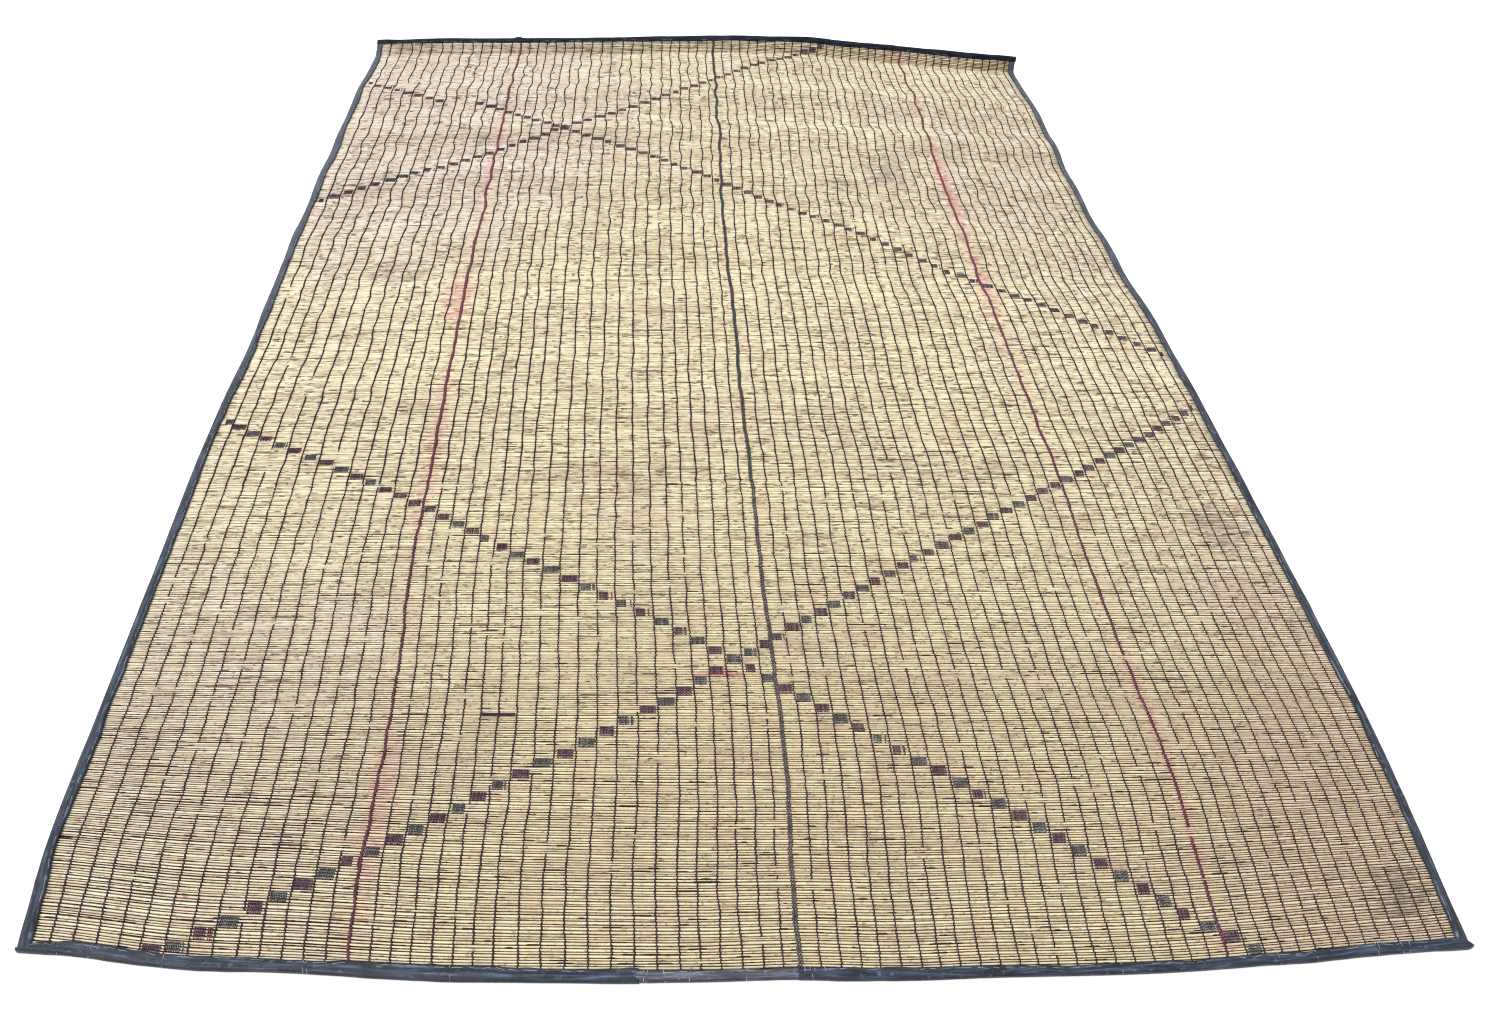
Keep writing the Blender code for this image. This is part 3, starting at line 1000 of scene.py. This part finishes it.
def make_reeds(finish):
    """The stems, in three pieces along the mat. A stem has three sides: two that meet in its crown,
    and a flat one below."""
    edges = stem_edges()
    places = lace_places(edges)
    cells = between(np.arange(-1.0, LACES + 1)[None])[0]
    sway = wander(21, cells, 3.1, 0.00050, REEDS + 1) + wander(22, cells, 1.05, 0.00016, REEDS + 1)
    sway[[0, -1]] = 0
    at_lace = np.abs(cells - np.round(cells)) < 0.1
    gaps = np.where(at_lace, 0.00035, 0.00012) + np.abs(wander(23, cells, 1.4, 0.0002, REEDS + 1))
    # The stems of the turned-up end touch, so that no light comes through them
    gaps[edges > CREASE - 0.03] = 0
    height = SHEET * (0.90 + wander(25, cells, 2.3, 0.08, REEDS)) - np.where(at_lace, 0.0002, 0)
    full_places = between(places)

    pieces = []
    for name, first, last, step in (
        ("reeds_near", 0, FINE_REEDS, 1),
        ("reeds_middle", FINE_REEDS, MIDDLE_REEDS, 2),
        ("reeds_far", MIDDLE_REEDS, REEDS, 2),
    ):
        low, high, at = slice(first, last), slice(first + 1, last + 1), slice(None, None, step)
        front = edges[low, None] + (sway + gaps / 2)[low, at]
        back = edges[high, None] + (sway - gaps / 2)[high, at]
        front_places, back_places = full_places[low, at], full_places[high, at]
        across = np.stack([front_places, (front_places + back_places) / 2, back_places], -1)
        along = np.stack([front, (front + back) / 2, back], -1)
        lift = np.stack([np.full_like(front, FOOT), height[low, at], np.full_like(front, FOOT)], -1)
        points = lie(across, along, lift + sheet_bottom(across, along))
        numbers = np.arange(first, last)[:, None, None] + np.array([0.001, 0.5, 0.999])
        weave = np.stack(np.broadcast_arrays(cells[at][None, :, None], numbers), -1)
        piece = lofts(name, [(points, weave)], finish)
        pieces.append((piece, (MEAN_WIDTH, float(edges[last] - edges[first]))))
    return pieces


def strands(names, near_wide, far_wide, high, seed, bare=0.0, aside=0.0):
    """Thongs that run over the stems, dive between them, and pass under a few now and then, with a
    width at both ends, a height over the stems and a distance aside from the lace's place. Returns the
    bundles of their fine near part and of their coarser far part."""
    bundles = []
    dice = np.random.default_rng(seed)
    for part in (FINE_LACE, COARSE_LACE):
        steps = part.steps
        along = place_of(steps)
        places = lace_places(along)[:, [name + 1 for name in names]]
        in_gap = part.dives & (np.abs(steps - np.round(steps)) < 0.1)
        zigzag = np.where(np.floor(steps) % 2 == 0, 1, -1) * np.where(in_gap, 0.0, part.zigzag)
        centre = places + 2 * (aside + zigzag[:, None]) / MEAN_WIDTH
        dive = np.where(in_gap, DIVE, 0.0)[:, None] + np.zeros_like(places)
        for column in range(len(names)):
            hidden = dice.random(len(steps)) < bare * part.bare
            for start in np.flatnonzero(hidden):
                dive[start : start + dice.integers(3, 9), column] = UNDER_STEM
        wide = near_wide + (far_wide - near_wide) * smooth_rise(steps, 80, 420)
        half = wide[:, None] / MEAN_WIDTH * (1 + wander(seed + 1, steps, 3.0, 0.22, len(names)).T)
        half = half * np.where(in_gap, part.wide_in_gap, part.wide_on_stem)[:, None]
        across = np.stack([centre - half, centre, centre + half], -1)
        spread = np.broadcast_to(along[:, None, None], across.shape)
        top = SHEET * part.top - dive
        lift = np.maximum(np.stack([top - LACE_SIDE, top + high, top - LACE_SIDE], -1), 0.0002)
        points = lie(across, spread, lift + sheet_bottom(across, spread))
        lace = np.array(names)[None, :, None] + np.array([-0.04, 0, 0.04])
        weave = np.stack(np.broadcast_arrays(lace, steps[:, None, None] + 0.5), -1)
        bundles.append((points.transpose(1, 0, 2, 3), weave.transpose(1, 0, 2, 3)))
    return bundles


def is_plum_block(line_name, cell):
    """Plum and charcoal blocks take turns, and which of them comes first depends on the line."""
    turned = line_name == "near_falling" or (line_name == "near_rising" and cell < 32)
    return (cell % 2 == 1) != turned


def make_blocks(plum, charcoal, rose):
    """The stepped lines of blocks: thin thongs side by side, each wrapped over four stems."""
    bars = {"plum": [], "charcoal": [], "rose": []}
    dice = np.random.default_rng(31)
    for name, line in BLOCK_LINES.items():
        for cell in range(line[0].cell, line[-1].cell + 1):
            if name == "far_falling" and cell in WORN_AWAY:
                continue
            middle = float(np.interp(cell, [s.cell for s in line], [s.along for s in line]))
            first = round(reed_at(middle)) - 2
            # There is no room for a block right at the near and the far edge
            if first < 2 or first > REEDS - 7:
                continue
            steps = first + np.array([-0.02, 0.5, 1.5, 2.5, 3.5, 4.02])
            along = place_of(steps)
            places = lace_places(along)
            left, right = places[:, cell + 1], places[:, cell + 2]
            space = float(np.mean(right - left)) * MEAN_WIDTH / 2
            # The leather cuts the outermost spaces short
            if cell == -1:
                left = left + 2 * BESIDE_LEATHER / MEAN_WIDTH
                space = 0.020
            if cell == LACES - 1:
                space = 0.012
            start = 0.0020 + dice.uniform(0, 0.0025)
            count = int((space - 0.0005 - start - dice.uniform(0, 0.0025)) / WRAP_PITCH)
            is_plum = is_plum_block(name, cell)
            ragged = dice.random() < 0.3
            for k in range(count):
                loose = ragged and k > count * 0.6
                if loose and dice.random() < 0.4:
                    continue
                centre = left + 2 * (start + WRAP_PITCH * k + dice.uniform(-0.0002, 0.0002)) / MEAN_WIDTH
                half = 2 * WRAP_HALF / MEAN_WIDTH * dice.uniform(0.85, 1.1)
                top = SHEET * 0.93 - np.array([0.0022, 0, 0, 0, 0, 0.0022])
                across = np.stack([centre - half, centre, centre + half], -1)
                lift = np.stack([top - 0.0003, top + 0.0009, top - 0.0003], -1)
                weave = np.stack(np.broadcast_arrays(cell + k * 0.08, steps[:, None] + np.zeros(3)), -1)
                is_rose = is_plum and (loose or (k in (0, count - 1) and dice.random() < 0.6))
                colour = "rose" if is_rose else "plum" if is_plum else "charcoal"
                bars[colour].append((across, np.broadcast_to(along[:, None], across.shape), lift, weave))
    made = []
    for name, colour, finish, slot in (
        ("plum_blocks", "plum", plum, "dyed_lacing"),
        ("charcoal_blocks", "charcoal", charcoal, "lacing"),
        ("rose_wraps", "rose", rose, "dyed_lacing"),
    ):
        across, along, lift, weave = (np.stack(part) for part in zip(*bars[colour]))
        points = lie(across, along, lift + sheet_bottom(across, along))
        made.append(lofts(name, [(points, weave)], finish))
    return made


def bulge(run, middle, half):
    """A smooth bump of height 1 on a strip."""
    return np.exp(-(((run - middle) / half) ** 2))


def strip_place(kind, run, inward):
    """A place on a strip by the distance along it and the distance in from the mat's outer edge."""
    if kind in ("left", "right"):
        return inwards(-1 if kind == "left" else 1, run, inward), run + 0 * inward
    return 2 * run / MEAN_WIDTH - 1 + 0 * inward, inward if kind == "near" else LENGTH - inward


def strip_sizes(strip, run):
    """How wide the strip lies over the reeds, its two rows of wrinkles, and its two leaves' lifts. The
    near strip is narrower at its ends, and puckered beside the left one."""
    cover = strip.cover + wander(strip.seed, run, 0.09, 0.0024) + wander(strip.seed + 1, run, 0.017, 0.0009)
    puffs = [0.0003 + np.abs(wander(strip.seed + k, run, 0.014 + 0.005 * k, 0.0016)) for k in (2, 3)]
    if strip.kind == "near":
        cover = cover * (1 - 0.26 * smooth_fall(run, 0.050, 0.056) - 0.55 * smooth_fall(run, 0.0, 0.030))
        cover = cover * (1 - 0.65 * smooth_fall(MEAN_WIDTH + TIP - run, 0.001, 0.018))
        puffs[0] = puffs[0] + 0.0022 * bulge(run, 0.060, 0.005)
    if strip.kind == "far":
        puffs[1] = puffs[1] + 0.0045 * bulge(run, KNOT, 0.011)
    rim = strip_place(strip.kind, run, LAYER + 0 * run)
    bottom = sheet_bottom(*rim)
    away = 0 * run
    if strip.kind in ("near", "far"):
        side = smooth_fall((1 - np.abs(rim[0])) * width(rim[1]) / 2, RIM, RAMP_END)
        away = LAYER * side + (0.0002 if strip.kind == "far" else 0)
    return cover, puffs, bottom - away - LAYER, bottom + SHEET + away + LAYER


def make_binding(strip, finish):
    """A strip folded round the mat's edge: the upper leaf's cut edge first, then round the fold and
    back under. A strip that another one laps over is a little slimmer there, and the near strip's
    right end runs out past the corner into a crumpled tip."""
    run = np.arange(strip.start, strip.end + STATION, STATION)
    cover, puffs, low, high = strip_sizes(strip, run)
    slim = 0.0007 * smooth_fall(run, strip.lap, strip.lap + 0.002)
    low, high = low + slim, high - slim
    edge = slim + 0.0006 + wander(strip.seed + 4, run, 0.085, 0.0014)
    edge += wander(strip.seed + 5, run, 0.02, 0.0004)
    if strip.kind == "far":
        edge -= 0.0060 * bulge(run, KNOT, 0.013)
    inward = np.stack([
        cover, cover - 0.0012, 0.62 * cover, 0.25 * cover, 0.0014 + edge, 0.0002 + edge, edge,
        0.0012 + edge, COVER + slim, COVER + slim, LEATHER + slim, LEATHER + slim, cover,
    ], -1)
    lift = np.stack([
        high - 0.0004, high + 0.0001, high + puffs[0], high + 0.6 * puffs[1], high - 0.0003, high - 0.0016,
        low + 0.0014, low, low, low + LEATHER, low + LEATHER, high - LEATHER, high - LEATHER,
    ], -1)
    if strip.kind == "near":
        past = np.clip((run - MEAN_WIDTH) / TIP, 0, 1)[:, None]
        inward = inward * (1 - 0.6 * past) + 0.002 * past
        lift = lift * (1 - 0.3 * past)
    across, along = strip_place(strip.kind, run[:, None], inward)
    points = lie(across, along, lift)[None]
    reed_numbers = np.broadcast_to(run[:, None] / PITCH, inward.shape)
    weave = np.stack([inward / cover[:, None], reed_numbers], -1)[None]
    piece = lofts(strip.name, [(points, weave)], finish, flat_sides=(8, 9, 10, 11, 12))
    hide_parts(strip.node)
    return piece


def thread_bar(strip, runs, inward, lifts):
    """One stitch's points: a thin three-sided bar through a few places on its strip."""
    steps = np.stack([np.gradient(runs), np.gradient(inward)], -1)
    steps /= np.linalg.norm(steps, axis=-1, keepdims=True)
    corners = []
    for sideways, up in ((-1, -0.6), (0, 1), (1, -0.6)):
        across, along = strip_place(
            strip.kind, runs - sideways * THREAD * steps[:, 1], inward + sideways * THREAD * steps[:, 0]
        )
        corners.append(lie(across, along, lifts + up * THREAD))
    return np.stack(corners, 1)


def make_stitches(finish):
    """Stitches near each strip's cut edge, many of them sunk or lost, and threads that cross the near
    strip."""
    dice = np.random.default_rng(91)
    running, crossing = [], []
    for strip in STRIPS:
        grid = np.arange(strip.start, strip.end + 0.001, 0.001)
        cover, puffs, _, high = strip_sizes(strip, grid)
        sizes = np.stack([cover, high, high + puffs[0], high + 0.6 * puffs[1]])
        last = min(strip.end, MEAN_WIDTH) if strip.kind in ("near", "far") else strip.end
        kept = 0.75 if strip.kind in ("near", "left") else 0.3
        at = strip.start + 0.012
        while at < last - 0.04:
            long = dice.uniform(0.008, 0.024)
            runs = at + np.array([0, 0.15, 0.85, 1.0]) * long
            cover, flat, inner, outer = (np.interp(runs, grid, row) for row in sizes)
            if dice.random() < kept:
                inward = cover - SEAM + dice.uniform(-0.0010, 0.0010, 4)
                lifts = flat + 0.4 * (inner - flat) + np.array([-0.0006, 0.0003, 0.0003, -0.0006])
                running.append(thread_bar(strip, runs, inward, lifts))
            at += long + dice.uniform(0.003, 0.008)
        if strip.kind == "near":
            spots = [joint + past for joint in JOINTS for past in (0.010, 0.016, 0.036)]
            spots = [spot for spot in spots if strip.start < spot < strip.end and spot > strip.lap]
            spots += list(dice.uniform(strip.start + 0.05, last - 0.05, round((last - strip.start) * 7)))
            for spot in spots:
                runs = spot + np.linspace(0, dice.uniform(-0.004, 0.004), 5)
                cover, flat, inner, outer = (np.interp(runs, grid, row) for row in sizes)
                inward = np.array([
                    cover[0] + 0.0015, cover[1] - 0.0012, 0.62 * cover[2], 0.25 * cover[3], -0.0003,
                ])
                lifts = np.array([
                    flat[0] - LAYER, flat[1] + 0.0004, inner[2] + 0.0003, outer[3] + 0.0003,
                    flat[4] - 0.0014,
                ])
                lifts[2 if dice.random() < 0.5 else 3] -= 0.002
                crossing.append(thread_bar(strip, runs, inward, lifts))
    bundles = [(bars, np.zeros(bars.shape[:3] + (2,))) for bars in (np.stack(running), np.stack(crossing))]
    return lofts("stitches", bundles, finish, flat_sides=())


def make_floor():
    bpy.ops.mesh.primitive_plane_add(size=60, location=(0, 0, -0.0005))
    floor = bpy.context.object
    floor.name = "studio_floor"
    made, _, shader = new_material("white_studio_floor", 0.9)
    shader.inputs["Base Color"].default_value = (0.93, 0.93, 0.93, 1)
    shader.inputs["Specular IOR Level"].default_value = 0.1
    floor.data.materials.append(made)


def make_light():
    world = bpy.data.worlds.new("studio")
    bpy.context.scene.world = world
    world.use_nodes = True
    wire = Wiring(world.node_tree)
    background = world.node_tree.nodes["Background"]
    background.inputs[0].default_value = (0.98, 0.99, 1, 1)
    seen = wire.node("ShaderNodeLightPath").outputs["Is Camera Ray"]
    wire.feed(background.inputs[1], wire.math("MULTIPLY_ADD", seen, 0.30, 0.80))
    for name, towards, strength, softness in (
        ("ceiling_light", (-0.45, -0.20, 0.87), 2.45, 50),
        ("window_light", (-0.55, 0.62, 0.56), 0.7, 60),
    ):
        data = bpy.data.lights.new(name, "SUN")
        data.energy, data.angle = strength, math.radians(softness)
        lamp = bpy.data.objects.new(name, data)
        bpy.context.scene.collection.objects.link(lamp)
        lamp.rotation_euler = Vector(towards).to_track_quat("Z", "Y").to_euler()


def make_camera():
    data = bpy.data.cameras.new("camera")
    data.lens, data.sensor_width, data.sensor_fit = LENS, FILM, "HORIZONTAL"
    data.clip_start, data.clip_end = 0.05, 100
    camera = bpy.data.objects.new("camera", data)
    bpy.context.scene.collection.objects.link(camera)
    turned = Matrix.Rotation(math.radians(TURN), 4, "Z") @ Matrix.Rotation(math.radians(PITCH_UP), 4, "X")
    camera.matrix_world = Matrix.Translation(EYE) @ turned @ Matrix.Rotation(math.radians(ROLL), 4, "Z")
    bpy.context.scene.camera = camera


def make_laces(thongs):
    """The plain laces in two pieces, the two magenta ones, and the double grey one."""
    plain = [n for n in range(LACES) if n not in MAGENTA_LACES and n != DOUBLE_LACE]
    left, right = plain[:34], plain[34:]
    made = []
    for name, numbers, seed in (("laces_left", left, 95), ("laces_right", right, 94)):
        plain_strands = strands(numbers, 0.0027, 0.0031, 0.0007, seed, bare=0.010)
        made.append(lofts(name, plain_strands, thongs["brown_thong"]))
    coloured = strands(MAGENTA_LACES, 0.0052, 0.0062, 0.0010, 71, bare=0.003)
    made.append(lofts("magenta_laces", coloured, thongs["magenta_thong"]))
    double = strands([DOUBLE_LACE], 0.0037, 0.0040, 0.0010, 75, aside=-0.0019)
    double += strands([DOUBLE_LACE], 0.0037, 0.0040, 0.0010, 79, aside=0.0019)
    made.append(lofts("slate_double_lace", double, thongs["slate_thong"]))
    return made


def main():
    make_camera()
    make_light()
    make_floor()
    marks, smudge, grain = streaks_group(), smudge_group(), hide_grain_group()
    reeds = make_reeds(reed_finish(marks, smudge))
    thongs = {thong.name: thong_finish(thong, grain) for thong in THONGS}
    dressing = make_laces(thongs)
    dressing += make_blocks(thongs["plum_thong"], thongs["charcoal_thong"], thongs["rose_thong"])
    leathers = {leather.name: binding_finish(leather, grain) for leather in LEATHERS}
    dressing += [make_binding(strip, leathers[strip.leather]) for strip in STRIPS]
    dressing.append(make_stitches(thread_finish()))
    for piece, flat in reeds:
        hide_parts("reed_mat")


main()
bpy.context.scene.view_settings.view_transform = "Standard"
bpy.context.scene.cycles.filter_width = 1.2
